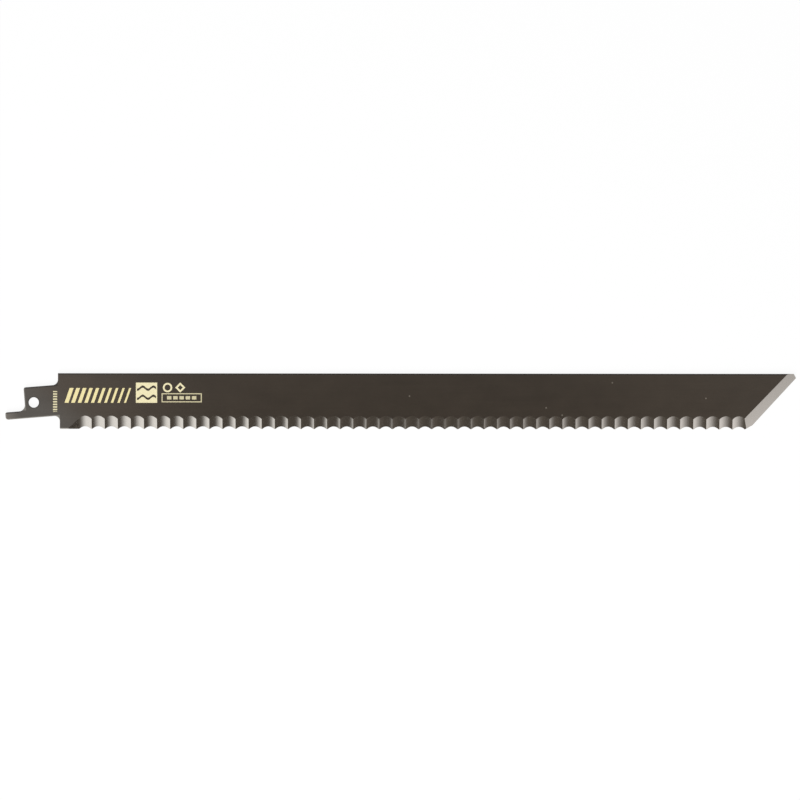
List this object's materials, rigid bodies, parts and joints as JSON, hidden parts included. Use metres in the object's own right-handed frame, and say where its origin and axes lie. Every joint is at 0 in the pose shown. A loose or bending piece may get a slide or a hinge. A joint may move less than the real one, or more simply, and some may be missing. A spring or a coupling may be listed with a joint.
{
  "type": "reciprocating saw blade",
  "caption": "Long reciprocating saw blade with a wave-ground knife edge, an oblique ground tip, and a canted shank with a tang and a pin hole.",
  "frame": {"origin": "on the axis of the shank hole, in the back face that it lies on", "axes": "+X along the spine to the tip, +Y to the spine, +Z out of the ground face, which is up"},
  "size_m": [0.305, 0.0215, 0.0012],
  "materials": {
    "blade_steel": "satin"
  },
  "bodies": {
    "root": {"blade": "blade_steel"}
  },
  "joints": []
}
